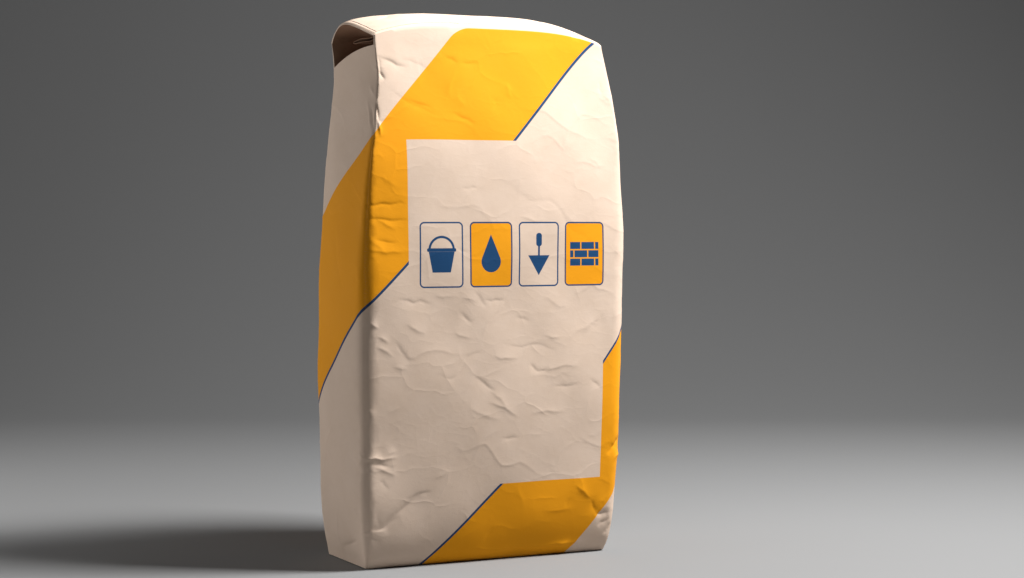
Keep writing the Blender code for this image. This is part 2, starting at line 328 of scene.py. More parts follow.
# Closeness to a face of the cube, and to a face's rim, that counts as on it
ON_FACE = 1e-4
ON_RIM = 1e-6
WAVE_COUNT = 26
WAVE_SPREAD = (0.6, 1.7)
SHARP_ANGLE = math.radians(58)

# Dry mix: cell of its mesh, inset from the solid, lumps, and how far its top lies below the paper's
FILL_CELL = 0.005
FILL_INSET = 0.0085
FILL_LUMP = 0.0006
FILL_LUMP_LENGTH = 0.020
FILL_TOP_GAP = 0.003
FILL_POCKET_GAP = 0.034
FILL_SLOPE = 0.06

# Valve sleeve: its mesh, sheet and ripple, and the powers that flatten its section
SLEEVE_ROWS = 34
SLEEVE_STEPS = 56
SLEEVE_SHEET = 0.0004
SLEEVE_RIPPLE = 0.0004
SLEEVE_RIPPLE_TURNS = (5, 9)
SLEEVE_INNER_SHARE = 0.8
SLEEVE_FLATNESS = (0.5, 0.8)
SLEEVE_SHARP_ANGLE = math.radians(50)


def metres(name, description, default):
    return FloatProperty(name=name, description=description, default=default, unit="LENGTH")


def tint(name, description, default):
    return FloatVectorProperty(name=name, description=description, default=default, subtype="COLOR")


class SackFormSettings(bpy.types.PropertyGroup):
    belly_width: metres("Belly Width", "Greatest width of the filled sack", SACK_HIGH.x - SACK_LOW.x)
    belly_depth: metres("Belly Depth", "Greatest depth of the filled sack", SACK_HIGH.y - SACK_LOW.y)
    top_width: metres(
        "Top Width", "Width of the folded top end", ROOF_HIGH.x - ROOF_LOW.x + 2 * PATCH_MARGIN
    )
    top_depth: metres(
        "Top Depth", "Depth of the folded top end", ROOF_HIGH.y - ROOF_LOW.y + 2 * PATCH_MARGIN
    )
    bottom_width: metres(
        "Bottom Width", "Width of the folded bottom end", BASE_HIGH.x - BASE_LOW.x + 2 * PATCH_MARGIN
    )
    bottom_depth: metres(
        "Bottom Depth", "Depth of the folded bottom end", BASE_HIGH.y - BASE_LOW.y + 2 * PATCH_MARGIN
    )
    cells: IntVectorProperty(
        name="Cells",
        description="Coarse cells of the paper's mesh along X, Y and Z, each split again",
        default=(13, 6, 33),
    )
    splits: IntProperty(
        name="Splits",
        description="How many times each coarse cell is halved",
        default=2,
    )


class CreaseSettings(bpy.types.PropertyGroup):
    seed: IntProperty(
        name="Seed",
        description="Start of the chance creases",
        default=7,
    )
    height: FloatProperty(
        name="Crease Height",
        description="Share of full height that all creases have",
        default=1.0,
    )
    wave_height: metres(
        "Wave Height", "Height of the soft unevenness that the fill presses into the paper", 0.0007
    )
    wave_length: metres("Wave Length", "Usual length of that unevenness", 0.09)


class PaperSettings(bpy.types.PropertyGroup):
    paper: tint("Paper", "Colour of the bare outer paper", (0.72, 0.564, 0.451))
    ink: tint("Band Ink", "Colour of the printed diagonal bands", (0.85, 0.338, 0.009))
    line_ink: tint("Line Ink", "Colour of the thin lines and small figures", (0.013, 0.060, 0.155))
    kraft: tint("Kraft", "Colour of the brown inner paper", (0.36, 0.215, 0.14))
    mix: tint("Dry Mix", "Colour of the cement and sand", (0.33, 0.31, 0.28))
    line_width: metres("Line Width", "Width of the thin lines beside the bands", 0.0023)


class StageSettings(bpy.types.PropertyGroup):
    lens: FloatProperty(
        name="Lens",
        description="Focal length in millimetres on a 36 mm sensor",
        default=71.0,
    )
    floor: tint("Floor", "Colour of the floor and the backdrop", (0.22, 0.22, 0.22))
    key_power: FloatProperty(
        name="Key Power",
        description="Power of the lamp at the front right",
        default=62.0,
        unit="POWER",
    )
    side_power: FloatProperty(
        name="Side Power",
        description="Power of the lamp at the back left",
        default=7.4,
        unit="POWER",
    )
    sky: FloatProperty(
        name="Sky",
        description="Strength of the even light from all round",
        default=0.04,
    )


def between(low, high, share):
    return low + (high - low) * share


def smooth_step(value):
    value = np.clip(value, 0.0, 1.0)
    return value * value * (3 - 2 * value)


# Form of the sack


def b_spline(controls, count=600):
    """Points of the uniform cubic B-spline that starts and ends on its end controls."""
    controls = np.asarray(controls, float)
    before = 2 * controls[0] - controls[1]
    after = 2 * controls[-1] - controls[-2]
    points = np.vstack([before, controls, after])
    t = np.linspace(0, len(controls) - 1, count)
    start = np.minimum(t.astype(int), len(controls) - 2)
    u = (t - start)[:, None]
    weights = ((1 - u) ** 3, 3 * u**3 - 6 * u**2 + 4, 3 * u + 3 * u**2 - 3 * u**3 + 1, u**3)
    return sum(weight * points[start + k] for k, weight in enumerate(weights)) / 6


PROFILE_CURVE = b_spline(PROFILE)
FOLD_SHIFT_CURVE = b_spline(FOLD_SHIFT)


def profile_at(share):
    """Fullness, pinch and fold radius at shares of the height."""
    return [np.interp(share, PROFILE_CURVE[:, 0], PROFILE_CURVE[:, k]) for k in (1, 2, 3)]


def roof_rise(across, along):
    """The roof's rise over its corners: an arch at the front and a crown that leans back at the valve."""
    edge = ROOF_ARCH * (1 - np.abs(across) ** ARCH_POWER)
    crown = ROOF_CROWN * (1 - along**2) * (1 - np.maximum(0.0, across) ** CROWN_POWER)
    from_front = np.clip((along + 1) / 2, 0.0, 1.0)
    mouth = MOUTH_RISE * from_front * (1 - from_front**MOUTH_POWER)
    at_mouth = smooth_step(MOUTH_BLEND[0] * across + MOUTH_BLEND[1])
    return edge + between(crown, mouth, at_mouth)


def ring_place(x, y, half_width, half_depth, radius):
    """Rounds the corners of the rectangle that x, y lie on.

    Returns x, y, the distance p from the front's middle and half the girth.
    """
    core_x = np.clip(x, radius - half_width, half_width - radius)
    core_y = np.clip(y, radius - half_depth, half_depth - radius)
    out_x, out_y = x - core_x, y - core_y
    length = np.maximum(np.hypot(out_x, out_y), 1e-9)
    round_x = core_x + out_x / length * radius
    round_y = core_y + out_y / length * radius
    straight = half_depth - radius
    near_turn = np.arctan2(np.abs(out_x), np.maximum(-out_y, 0.0))
    far_turn = np.arctan2(np.maximum(out_y, 0.0), np.abs(out_x) + 1e-12)
    from_front = np.abs(core_x) + radius * (near_turn + far_turn) + core_y + straight
    half_girth = 2 * (half_width - radius) + math.pi * radius + 2 * straight
    back_turn = np.arctan2(np.abs(out_x), np.maximum(out_y, 0.0))
    from_back = half_girth - np.abs(core_x) - radius * back_turn
    on_back = (out_y > np.abs(out_x)) | ((out_x == 0) & (out_y > 0))
    distance = np.where(on_back, from_back, from_front)
    side = np.where(x < 0, -1.0, 1.0)
    return round_x, round_y, side * distance, half_girth


def sack_form(form, across, along, share):
    """Smooth form of the sack from places in a cube of -1 to 1, -1 to 1 and 0 to 1."""
    full, pinch, radius = profile_at(share)
    reach = np.maximum(np.abs(across), np.abs(along))
    on_cap = reach < 1 - ON_RIM
    scale = np.where(on_cap, np.maximum(reach, 1e-9), 1.0)
    a, b = across / scale, along / scale
    to_far, to_back = smooth_step((a + 1) / 2), smooth_step((b + 1) / 2)
    near_share, far_share = [between(*shares, to_back) for shares in FOLD_RADIUS_SHARES]
    radius = radius * between(near_share, far_share, to_far)
    crown_x, crown_y = SIDE_CROWN * (1 - b**2), FRONT_CROWN * (1 - a**2)
    end_width = between(form.bottom_width, form.top_width, share)
    end_depth = between(form.bottom_depth, form.top_depth, share)
    half_width = between(end_width, form.belly_width - 2 * SIDE_CROWN, full) / 2
    half_depth = between(end_depth, form.belly_depth - 2 * FRONT_CROWN, full) / 2
    x, y, distance, half_girth = ring_place(a * half_width, b * half_depth, half_width, half_depth, radius)
    x = x * (1 + crown_x * full / half_width)
    y = y * (1 + crown_y * full / half_depth)
    valve_side = np.maximum(0.0, -a) ** VALVE_SIDE_POWER * (1 + b) / 2
    x = x + VALVE_SIDE_PINCH * pinch * valve_side
    fold_shift = np.interp(share, FOLD_SHIFT_CURVE[:, 0], FOLD_SHIFT_CURVE[:, 1])
    x = x + fold_shift * np.maximum(0.0, -a) ** FOLD_SHIFT_POWER * (1 - b) / 2
    y = y + END_MIDDLE_Y * (1 - full)
    x = x * scale
    y = np.where(on_cap, between(END_MIDDLE_Y, y, scale), y)
    z = between(BOTTOM_Z, TOP_Z, share) + roof_rise(across, along) * share**ROOF_POWER
    return np.stack([x, y, z], 1), distance, half_girth, on_cap


# Creases and waves of the paper


def wave_field(points, length, count, rng):
    """Soft, even unevenness: a sum of waves in chance directions, about -1 to 1."""
    total = np.zeros(len(points))
    for _ in range(count):
        direction = rng.normal(size=3)
        direction /= np.linalg.norm(direction)
        wave = length * rng.uniform(*WAVE_SPREAD)
        total += np.sin(points @ direction * (2 * math.pi / wave) + rng.uniform(0, 2 * math.pi))
    return total / math.sqrt(count)


def chance_crease(p, q, angle, half_length, height, sharp, rng):
    """A row like HAND_CREASES with one steep side, mostly the lower side of a ridge."""
    gentle = sharp * rng.uniform(*GENTLE_SIDE)
    ridge = rng.random() < RIDGE_CHANCE
    widths = (gentle, sharp) if ridge else (sharp, gentle)
    return (p, q, angle, half_length, height if ridge else -height, *widths)


def chance_creases(half_girth, rng):
    """Creases of each zone."""
    rows = []
    for count, low, high, angle, spread, short, long, least, most, narrow, wide in CREASE_ZONES:
        for _ in range(int(count * 2 * half_girth)):
            rows.append(chance_crease(
                rng.uniform(-half_girth, half_girth),
                rng.uniform(low, high),
                angle + rng.normal() * spread,
                rng.uniform(short, long),
                rng.uniform(least, most),
                rng.uniform(narrow, wide),
                rng,
            ))
    return rows


def fold_creases(fold_places, rng):
    """Short creases where the paper bends across the four upright folds, higher on the valve's side."""
    rows = []
    for place in fold_places:
        most = FOLD_CREASE_MOST[0 if place < 0 else 1]
        for _ in range(FOLD_CREASES):
            rows.append(chance_crease(
                place + rng.normal() * FOLD_SPREAD,
                rng.uniform(*FOLD_CREASE_REACH),
                rng.normal() * FOLD_CREASE_TURN,
                rng.uniform(*FOLD_CREASE_LENGTH),
                rng.uniform(FOLD_CREASE_LEAST, most),
                rng.uniform(*FOLD_CREASE_SHARP),
                rng,
            ))
    return rows


def crease_field(p, q, girth, creases, kink_size, rng):
    """Height and steepness at p, q of creases, each a kinked line that falls away on both sides."""
    total, steep = np.zeros(len(p)), np.zeros(len(p))
    for middle_p, middle_q, angle, half_length, height, above, below in creases:
        turn = math.radians(angle)
        kinks = rng.normal(size=len(KINK_PLACES)) * kink_size * half_length
        dp = (p - middle_p + girth / 2) % girth - girth / 2
        dq = q - middle_q
        reach = half_length + CREASE_TAIL * max(above, below)
        near = np.flatnonzero((np.abs(dp) < reach) & (np.abs(dq) < reach))
        dp, dq = dp[near], dq[near]
        forward = (dp * math.cos(turn) + dq * math.sin(turn)) / half_length
        sideways = dq * math.cos(turn) - dp * math.sin(turn) + np.interp(forward, KINK_PLACES, kinks)
        window = np.clip(1 - forward**2, 0, 1) ** CREASE_FADE
        slope = np.where(sideways > 0, sideways / above, -sideways / below)
        total[near] += height * window * np.exp(-slope)
        narrow = min(above, below)
        here = abs(height) / narrow * window * np.exp(-np.abs(sideways) / (2 * narrow))
        steep[near] = np.maximum(steep[near], here)
    return total, steep


def pocket_drop(along):
    """How far below the top the pocket's mouth reaches, from the front at along -1 to the back at 1."""
    from_front = np.clip((along + 1) / 2, 0.0, 1.0)
    return between(POCKET_DROP_FRONT, POCKET_DROP_BACK, from_front**POCKET_DROP_POWER)


def pocket_calm(points):
    """1 away from the valve pocket and 0 at it, where the paper is stiff and the creases fade."""
    from_mouth = points[:, 0] - SACK_LOW.x - POCKET_DEPTH
    along = (points[:, 1] - END_MIDDLE_Y) * 2 / (ROOF_HIGH.y - ROOF_LOW.y)
    from_drop = TOP_Z - pocket_drop(along) - POCKET_CALM_BELOW - points[:, 2]
    return smooth_step(np.maximum(from_mouth, from_drop) / POCKET_CALM)


# Meshes


def param_grid(cells, splits):
    """A closed cube from -1 to 1, -1 to 1 and 0 to 1, cut into cells that are each halved splits times."""
    grid = bmesh.new()
    bmesh.ops.create_cube(grid, size=2.0)
    for vertex in grid.verts:
        vertex.co.z = (vertex.co.z + 1) / 2
    for axis, count in enumerate(cells):
        normal = Vector((0, 0, 0))
        normal[axis] = 1.0
        low = 0.0 if axis == 2 else -1.0
        for k in range(1, count):
            geometry = grid.verts[:] + grid.edges[:] + grid.faces[:]
            place = normal * between(low, 1.0, k / count)
            bmesh.ops.bisect_plane(grid, geom=geometry, plane_co=place, plane_no=normal)
    bmesh.ops.recalc_face_normals(grid, faces=grid.faces[:])
    mesh = bpy.data.meshes.new("param_grid")
    grid.to_mesh(mesh)
    grid.free()
    obj = bpy.data.objects.new("param_grid", mesh)
    bpy.context.scene.collection.objects.link(obj)
    modifier = obj.modifiers.new("split", "SUBSURF")
    modifier.subdivision_type = "SIMPLE"
    modifier.levels = splits
    return applied(obj)


def face_means(mesh, values, kind=np.add):
    """Each face's mean, or greatest with np.maximum, of the vertices' values, and the corner counts."""
    counts = np.empty(len(mesh.polygons), np.int32)
    mesh.polygons.foreach_get("loop_total", counts)
    starts = np.concatenate([[0], np.cumsum(counts)[:-1]])
    found = kind.reduceat(values[corner_vertices(mesh)], starts)
    return (found / counts if kind is np.add else found), counts


def halve_cells(mesh, need, part):
    """Halves the given part of the mesh's cells both ways, those of greatest need."""
    needs, counts = face_means(mesh, need, np.maximum)
    needs = np.where(counts == 4, needs, -1.0)
    chosen = np.argsort(-needs)[: int(len(needs) * part)]
    grid = bmesh.new()
    grid.from_mesh(mesh)
    grid.faces.ensure_lookup_table()
    edges = {edge for k in chosen for edge in grid.faces[k].edges}
    bmesh.ops.subdivide_edges(grid, edges=list(edges), cuts=1, use_grid_fill=True)
    grid.to_mesh(mesh)
    grid.free()


def cut_many_cornered(mesh):
    """Cuts faces of more than four corners into triangles, while they are still flat."""
    grid = bmesh.new()
    grid.from_mesh(mesh)
    bmesh.ops.triangulate(grid, faces=[face for face in grid.faces if len(face.verts) > 4])
    grid.to_mesh(mesh)
    grid.free()


def applied(obj, sharp_angle=None):
    """obj's mesh with its modifiers applied, smooth up to sharp_angle; obj itself is removed."""
    graph = bpy.context.evaluated_depsgraph_get()
    mesh = bpy.data.meshes.new_from_object(obj.evaluated_get(graph), depsgraph=graph)
    name = obj.name
    bpy.data.objects.remove(obj)
    mesh.name = name
    if sharp_angle:
        mesh.shade_smooth()
        mesh.set_sharp_from_angle(angle=sharp_angle)
    return mesh


def thick_sheet(obj, thickness, sharp_angle):
    """The mesh of a sheet of that thickness under obj's surface; obj itself is removed."""
    sheet = obj.modifiers.new("sheet", "SOLIDIFY")
    sheet.thickness = thickness
    sheet.offset = -1.0
    return applied(obj, sharp_angle)


def coordinates(mesh):
    found = np.empty(len(mesh.vertices) * 3, np.float32)
    mesh.vertices.foreach_get("co", found)
    return found.reshape(-1, 3).astype(float)


def set_coordinates(mesh, points):
    mesh.vertices.foreach_set("co", points.astype(np.float32).ravel())
    mesh.update()


def vertex_normals(mesh):
    found = np.empty(len(mesh.vertices) * 3, np.float32)
    mesh.vertex_normals.foreach_get("vector", found)
    return found.reshape(-1, 3).astype(float)


def new_piece(name, mesh, materials=()):
    obj = bpy.data.objects.new(name, mesh)
    bpy.context.scene.collection.objects.link(obj)
    for material in materials:
        mesh.materials.append(material)
    return obj


def corner_vertices(mesh):
    found = np.empty(len(mesh.loops), np.int32)
    mesh.loops.foreach_get("vertex_index", found)
    return found


def add_print_map(mesh, grid, distance, half_girth, x):
    """UV map of the flat paper in metres, open along the back's seam, with the ends off the print."""
    share = grid[:, 2]
    vertices = corner_vertices(mesh)
    (mean_across, counts), (mean_along, _), (mean_share, _) = [face_means(mesh, part) for part in grid.T]
    overlap = (mean_along > 1 - ON_FACE) & (mean_across > 0) & (mean_across < SEAM_ACROSS)
    side = np.repeat(np.where(overlap, -1.0, np.sign(mean_across)), counts)
    overlap = np.repeat(overlap, counts)
    on_end = np.repeat((mean_share < ON_FACE) | (mean_share > 1 - ON_FACE), counts)
    q = between(BOTTOM_Z, TOP_Z, share)
    away = np.abs(distance)[vertices]
    away = np.where(overlap, 2 * half_girth[vertices] - away, away)
    past_fold = away - SIDE_FOLD
    past_fold = (past_fold + np.hypot(past_fold, SIDE_FOLD_ROUND)) / 2
    lost = 1 - (SIDE_SHARE_LOW - SIDE_SHARE_FALL * q[vertices])
    p = side * (away - past_fold * lost)
    p = np.where(on_end, FAR_OFF_PRINT + x[vertices], p)
    layer = mesh.uv_layers.new(name="print")
    layer.uv.foreach_set("vector", np.stack([p, q[vertices]], 1).astype(np.float32).ravel())


def pocket_mesh(form):
    """The valve pocket's room: a wedge from the mouth in the -X side to the sleeve."""
    mesh = param_grid(POCKET_CELLS, 2)
    grid = coordinates(mesh)
    inward, along, upward = np.clip(grid.T, -1.0, 1.0)
    inward = between(POCKET_OUTWARD, 1.0, (inward + 1) / 2)
    taper = np.maximum(0.0, inward)
    mouth_x = -form.top_width / 2
    x = mouth_x + inward * POCKET_DEPTH
    mouth_half = form.top_depth / 2 - POCKET_WALL
    y = along * between(mouth_half, POCKET_TIP_HALF, taper) + END_MIDDLE_Y
    across = between(-1.0, -(mouth_x + POCKET_DEPTH) / mouth_x, taper)
    across = np.clip(across, -1, 1)
    sleeve_z = (SLEEVE_LOW.z + SLEEVE_HIGH.z) / 2
    roof = TOP_Z + roof_rise(across, along) - POCKET_ROOF
    roof = between(roof, np.minimum(roof, sleeve_z + POCKET_TIP_HIGH), taper**POCKET_ROOF_POWER)
    mouth_floor = TOP_Z - pocket_drop(along)
    floor = between(mouth_floor, sleeve_z - POCKET_TIP_LOW, taper**POCKET_FLOOR_POWER)
    sag_turn = inward * POCKET_SAG_TURNS[0] + along * POCKET_SAG_TURNS[1]
    sag = POCKET_SAG * np.sin(sag_turn) * (1 - np.abs(along)) * taper
    z = between(floor, roof, upward) + sag
    points = np.stack([x, y, z], 1)
    rng = np.random.default_rng(POCKET_SEED)
    crumple = wave_field(points, POCKET_CRUMPLE_LENGTH, WAVE_COUNT, rng) * POCKET_CRUMPLE
    off_mouth = smooth_step(taper * POCKET_CRUMPLE_RISE)
    off_sides = smooth_step((1 - np.abs(along)) * POCKET_CRUMPLE_RISE)
    points[:, 2] += crumple * off_mouth * off_sides * (1 - taper)
    set_coordinates(mesh, points)
    mesh.polygons.foreach_set("material_index", np.ones(len(mesh.polygons), np.int32))
    layer = mesh.uv_layers.new(name="print")
    far = np.full((len(mesh.loops), 2), 2 * FAR_OFF_PRINT, np.float32)
    layer.uv.foreach_set("vector", far.ravel())
    return mesh


def paper_relief(form, settings, grid):
    """Smooth points of the paper, distances round it, half the girth, its relief and its need of cells."""
    across, along, share = grid.T
    points, distance, half_girth, on_cap = sack_form(form, across, along, share)
    rng = np.random.default_rng(settings.seed)
    waves = wave_field(points, settings.wave_length, WAVE_COUNT, rng) * settings.wave_height
    half = float(np.max(half_girth))
    even_p = distance / half_girth * half
    fold_places = [side * half * part for side in (-1, 1) for part in (FOLD_SHARE, 1 - FOLD_SHARE)]
    chance = chance_creases(half, rng) + fold_creases(fold_places, rng)
    wander_p = WANDER * wave_field(points, WANDER_LENGTH, WANDER_WAVES, rng)
    wander_q = WANDER * wave_field(points, WANDER_LENGTH, WANDER_WAVES, rng)
    q = points[:, 2] + wander_q
    loose = crease_field(even_p + wander_p, q, 2 * half, chance, CHANCE_KINK, rng)
    near_p = distance + HAND_WANDER * wander_p
    near_q = points[:, 2] + HAND_WANDER * wander_q
    set_down = crease_field(near_p, near_q, 2 * half, HAND_CREASES, HAND_KINK, rng)
    height = np.where(on_cap, 0.0, loose[0] + HAND_SHARE * set_down[0])
    steep = np.where(on_cap, 0.0, np.maximum(loose[1], set_down[1]))
    over_seam = (SEAM_ACROSS - across) * form.belly_width / 2
    on_back = (along > 1 - ON_FACE) & ~on_cap
    seam = smooth_step(over_seam / SEAM_SLOPE + 0.5) * smooth_step(1 - over_seam / SEAM_FADE)
    height = height + np.where(on_back, SEAM_STEP * seam, 0.0)
    seam_need = SEAM_NEED * np.exp(-np.abs(over_seam) / SEAM_SLOPE)
    steep = np.maximum(steep, np.where(on_back, seam_need, 0.0))
    off_floor = smooth_step((points[:, 2] - BOTTOM_Z) / FLOOR_FADE)
    off_top = smooth_step((TOP_Z - points[:, 2]) / TOP_FADE)
    cap_share = np.where(share > 0.5, END_RELIEF, 0.0)
    ends = np.where(on_cap, cap_share, off_floor * between(END_RELIEF, 1.0, off_top))
    calm = pocket_calm(points)
    need = steep * calm + FOLD_NEED * fold_nearness(across, along, share) + POCKET_NEED * (1 - calm)
    return points, distance, half_girth, (height * settings.height + waves) * ends * calm, need


def roof_height(form, settings, points):
    """Unevenness of the top patch: the sack's own, the flaps' edges under it, and its creases."""
    rng = np.random.default_rng(settings.seed)
    waves = wave_field(points, settings.wave_length, WAVE_COUNT, rng) * settings.wave_height
    x, y = points[:, 0], points[:, 1] - END_MIDDLE_Y
    from_end = form.top_width / 2 - np.abs(x)
    from_edge = form.top_depth / 2 - np.abs(y)
    in_tab = np.maximum(TAB_DEPTH - from_end, from_edge - from_end - TAB_SLANT)
    tab = smooth_step(in_tab / FLAP_SLOPE + 0.5)
    overlap = smooth_step((FLAP_OVERLAP / 2 - np.abs(y - FLAP_MIDDLE)) / FLAP_SLOPE + 0.5)
    flaps = FLAP_STEP * np.maximum(tab * TAB_SHARE, overlap)
    rows = []
    for _ in range(ROOF_CREASES):
        place = (rng.uniform(-1, 1) * form.top_width / 2, rng.uniform(-1, 1) * form.top_depth / 2)
        rows.append(chance_crease(
            *place,
            rng.uniform(-90, 90),
            rng.uniform(*ROOF_CREASE_LENGTH),
            rng.uniform(*ROOF_CREASE_HEIGHT),
            rng.uniform(*ROOF_CREASE_SHARP),
            rng,
        ))
    creases = crease_field(x, y, UNWRAPPED, rows + list(HAND_ROOF_CREASES), CHANCE_KINK, rng)[0]
    off_rim = smooth_step(np.minimum(from_end, from_edge) / PATCH_RIM)
    return PATCH_WAVES * waves * pocket_calm(points) + (flaps + creases * settings.height) * off_rim


class SACK_OT_make_skin(bpy.types.Operator):
    """Makes the creased, printed paper sack with its valve pocket"""

    bl_idname = "sack.make_skin"
    bl_label = "Make Paper Sack"

    def execute(self, context):
        form, creasing = context.scene.sack_form, context.scene.sack_creases
        mesh = param_grid(form.cells, form.splits)
        for part in FINER_PARTS:
            halve_cells(mesh, paper_relief(form, creasing, coordinates(mesh))[-1], part)
        cut_many_cornered(mesh)
        grid = coordinates(mesh)
        across, along, share = grid.T
        points, distance, half_girth, height, _ = paper_relief(form, creasing, grid)
        add_print_map(mesh, grid, distance, half_girth, points[:, 0])
        set_coordinates(mesh, points)
        points = points + vertex_normals(mesh) * height[:, None]
        outward = np.where(np.abs(grid) > 1 - ON_FACE, np.sign(grid), 0.0)
        on_rim = np.maximum(np.abs(across), np.abs(along)) > 1 - ON_RIM
        top_fold = (share > 1 - ON_FACE) & on_rim
        points[top_fold] -= outward[top_fold] * FOLD_SOFTENING
        points[:, 2] = np.maximum(points[:, 2], BOTTOM_Z)
        set_coordinates(mesh, points)
        fold = mesh.attributes.new("fold", "FLOAT", "POINT")
        fold.data.foreach_set("value", fold_nearness(across, along, share).astype(np.float32))
        materials = (material_of(printed_sack_paper), material_of(brown_inner_paper))
        sack = new_piece("sack_paper", mesh, materials)
        pocket = new_piece("pocket_room", pocket_mesh(form), materials)
        cut = sack.modifiers.new("pocket", "BOOLEAN")
        cut.operation = "DIFFERENCE"
        cut.solver = "EXACT"
        cut.object = pocket
        mesh = applied(sack, SHARP_ANGLE)
        bpy.data.objects.remove(pocket)
        sack = new_piece("sack_paper", mesh)
        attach(sack, "root")
        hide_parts("paper_sack")
        return {"FINISHED"}


def fold_nearness(across, along, share):
    """1 on the sack's folds and 0 a little away from them."""
    upright = np.maximum(1 - np.abs(across), 1 - np.abs(along))
    ends = np.minimum(share, 1 - share) * END_SCALE
    return np.clip(1 - np.minimum(upright / FOLD_REACH, ends / END_REACH), 0, 1)


class SACK_OT_make_fill(bpy.types.Operator):
    """Makes the lumpy dry mix inside the paper"""

    bl_idname = "sack.make_fill"
    bl_label = "Make Dry Mix"

    def execute(self, context):
        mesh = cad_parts["dry_mix"].data.copy()
        mesh.name = "dry_mix_fill"
        mesh.materials.clear()
        fill = new_piece("dry_mix_fill", mesh, (material_of(cement_and_sand),))
        remesh = fill.modifiers.new("even", "REMESH")
        remesh.mode = "VOXEL"
        remesh.voxel_size = FILL_CELL
        mesh = applied(fill)
        rng = np.random.default_rng(context.scene.sack_creases.seed)
        points = coordinates(mesh)
        lumps = FILL_LUMP * wave_field(points, FILL_LUMP_LENGTH, WAVE_COUNT, rng)
        points = points + vertex_normals(mesh) * (lumps - FILL_INSET)[:, None]
        under_pocket = smooth_step((SLEEVE_LOW.x + SLEEVE_HIGH.x - 2 * points[:, 0]) / FILL_SLOPE + 0.5)
        top = TOP_Z - between(FILL_TOP_GAP, FILL_POCKET_GAP, under_pocket) + lumps
        points[:, 2] = np.minimum(points[:, 2], top)
        set_coordinates(mesh, points)
        mesh.shade_smooth()
        fill = new_piece("dry_mix_fill", mesh)
        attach(fill, "root")
        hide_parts("dry_mix")
        return {"FINISHED"}


class SACK_OT_make_patches(bpy.types.Operator):
    """Makes the pasted paper strips over both folded ends"""

    bl_idname = "sack.make_patches"
    bl_label = "Make Cover Patches"

    def execute(self, context):
        form, creasing = context.scene.sack_form, context.scene.sack_creases
        grid = bmesh.new()
        bmesh.ops.create_grid(grid, x_segments=PATCH_CELLS[0], y_segments=PATCH_CELLS[1], size=1.0)
        mesh = bpy.data.meshes.new("top_patch")
        grid.to_mesh(mesh)
        grid.free()
        flat = coordinates(mesh)
        rng = np.random.default_rng(creasing.seed)
        edge_waves = wave_field(flat * PATCH_UNEVEN_SCALE, PATCH_UNEVEN_LENGTH, WAVE_COUNT, rng)
        uneven = PATCH_UNEVEN * edge_waves
        reach_x = 1 - (PATCH_MARGIN + uneven) / (form.top_width / 2)
        reach_y = 1 - (PATCH_MARGIN + uneven) / (form.top_depth / 2)
        across, along = flat[:, 0] * reach_x, flat[:, 1] * reach_y
        points = sack_form(form, across, along, np.ones(len(flat)))[0]
        set_coordinates(mesh, points)
        height = roof_height(form, creasing, points)
        points[:, 2] += height + PATCH_LIFT
        set_coordinates(mesh, points)
        patch = new_piece("top_patch", mesh, (material_of(plain_strip_paper),))
        patch = new_piece("top_patch", thick_sheet(patch, PATCH_SHEET, SHARP_ANGLE))
        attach(patch, "root")
        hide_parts("top_cover_patch")
        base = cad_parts["bottom_cover_patch"]
        base.data.materials.clear()
        base.data.materials.append(material_of(plain_strip_paper))
        return {"FINISHED"}


class SACK_OT_make_sleeve(bpy.types.Operator):
    """Makes the flattened brown paper tube of the filling valve"""

    bl_idname = "sack.make_sleeve"
    bl_label = "Make Valve Sleeve"

    def execute(self, context):
        half_width = (SLEEVE_HIGH.y - SLEEVE_LOW.y) / 2
        half_height = (SLEEVE_HIGH.z - SLEEVE_LOW.z) / 2
        middle_y = (SLEEVE_HIGH.y + SLEEVE_LOW.y) / 2
        middle_z = (SLEEVE_HIGH.z + SLEEVE_LOW.z) / 2
        tube = bmesh.new()
        rings = []
        for row in range(SLEEVE_ROWS):
            share = row / (SLEEVE_ROWS - 1)
            ring = []
            for step in range(SLEEVE_STEPS):
                turn = 2 * math.pi * step / SLEEVE_STEPS
                side = math.copysign(abs(math.cos(turn)) ** SLEEVE_FLATNESS[0], math.cos(turn))
                rise = math.copysign(abs(math.sin(turn)) ** SLEEVE_FLATNESS[1], math.sin(turn))
                ripple_turn = SLEEVE_RIPPLE_TURNS[0] * side + SLEEVE_RIPPLE_TURNS[1] * share
                ripple = SLEEVE_RIPPLE * math.sin(ripple_turn) * (1 - share)
                x = between(SLEEVE_LOW.x, SLEEVE_HIGH.x, share)
                y = middle_y + half_width * side
                z = middle_z + half_height * rise * between(1.0, SLEEVE_INNER_SHARE, share) + ripple
                ring.append(tube.verts.new((x, y, z)))
            rings.append(ring)
        for near, far in zip(rings, rings[1:]):
            for step in range(SLEEVE_STEPS):
                after = (step + 1) % SLEEVE_STEPS
                tube.faces.new((near[step], near[after], far[after], far[step]))
        bmesh.ops.recalc_face_normals(tube, faces=tube.faces[:])
        mesh = bpy.data.meshes.new("valve_tube")
        tube.to_mesh(mesh)
        tube.free()
        sleeve = new_piece("valve_tube", mesh, (material_of(brown_inner_paper),))
        sleeve = new_piece("valve_tube", thick_sheet(sleeve, SLEEVE_SHEET, SLEEVE_SHARP_ANGLE))
        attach(sleeve, "root")
        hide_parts("valve_sleeve")
        return {"FINISHED"}


# Materials

PAPER_SHINE = 0.10
# Ends of the grain's tone that count as darkest and palest, and the colour of the darkest as a share
TONE_RANGE = (0.3, 0.7)
SACK_SHADE = (0.93, 0.91, 0.88)
PATCH_SHADE = (0.90, 0.88, 0.85)
KRAFT_SHADE = (0.78, 0.74, 0.68)
MIX_SHADE = (0.7, 0.7, 0.7)
# Noises whose tone is used by itself keep to a narrower range
NOISE_RANGE = (0.35, 0.65)
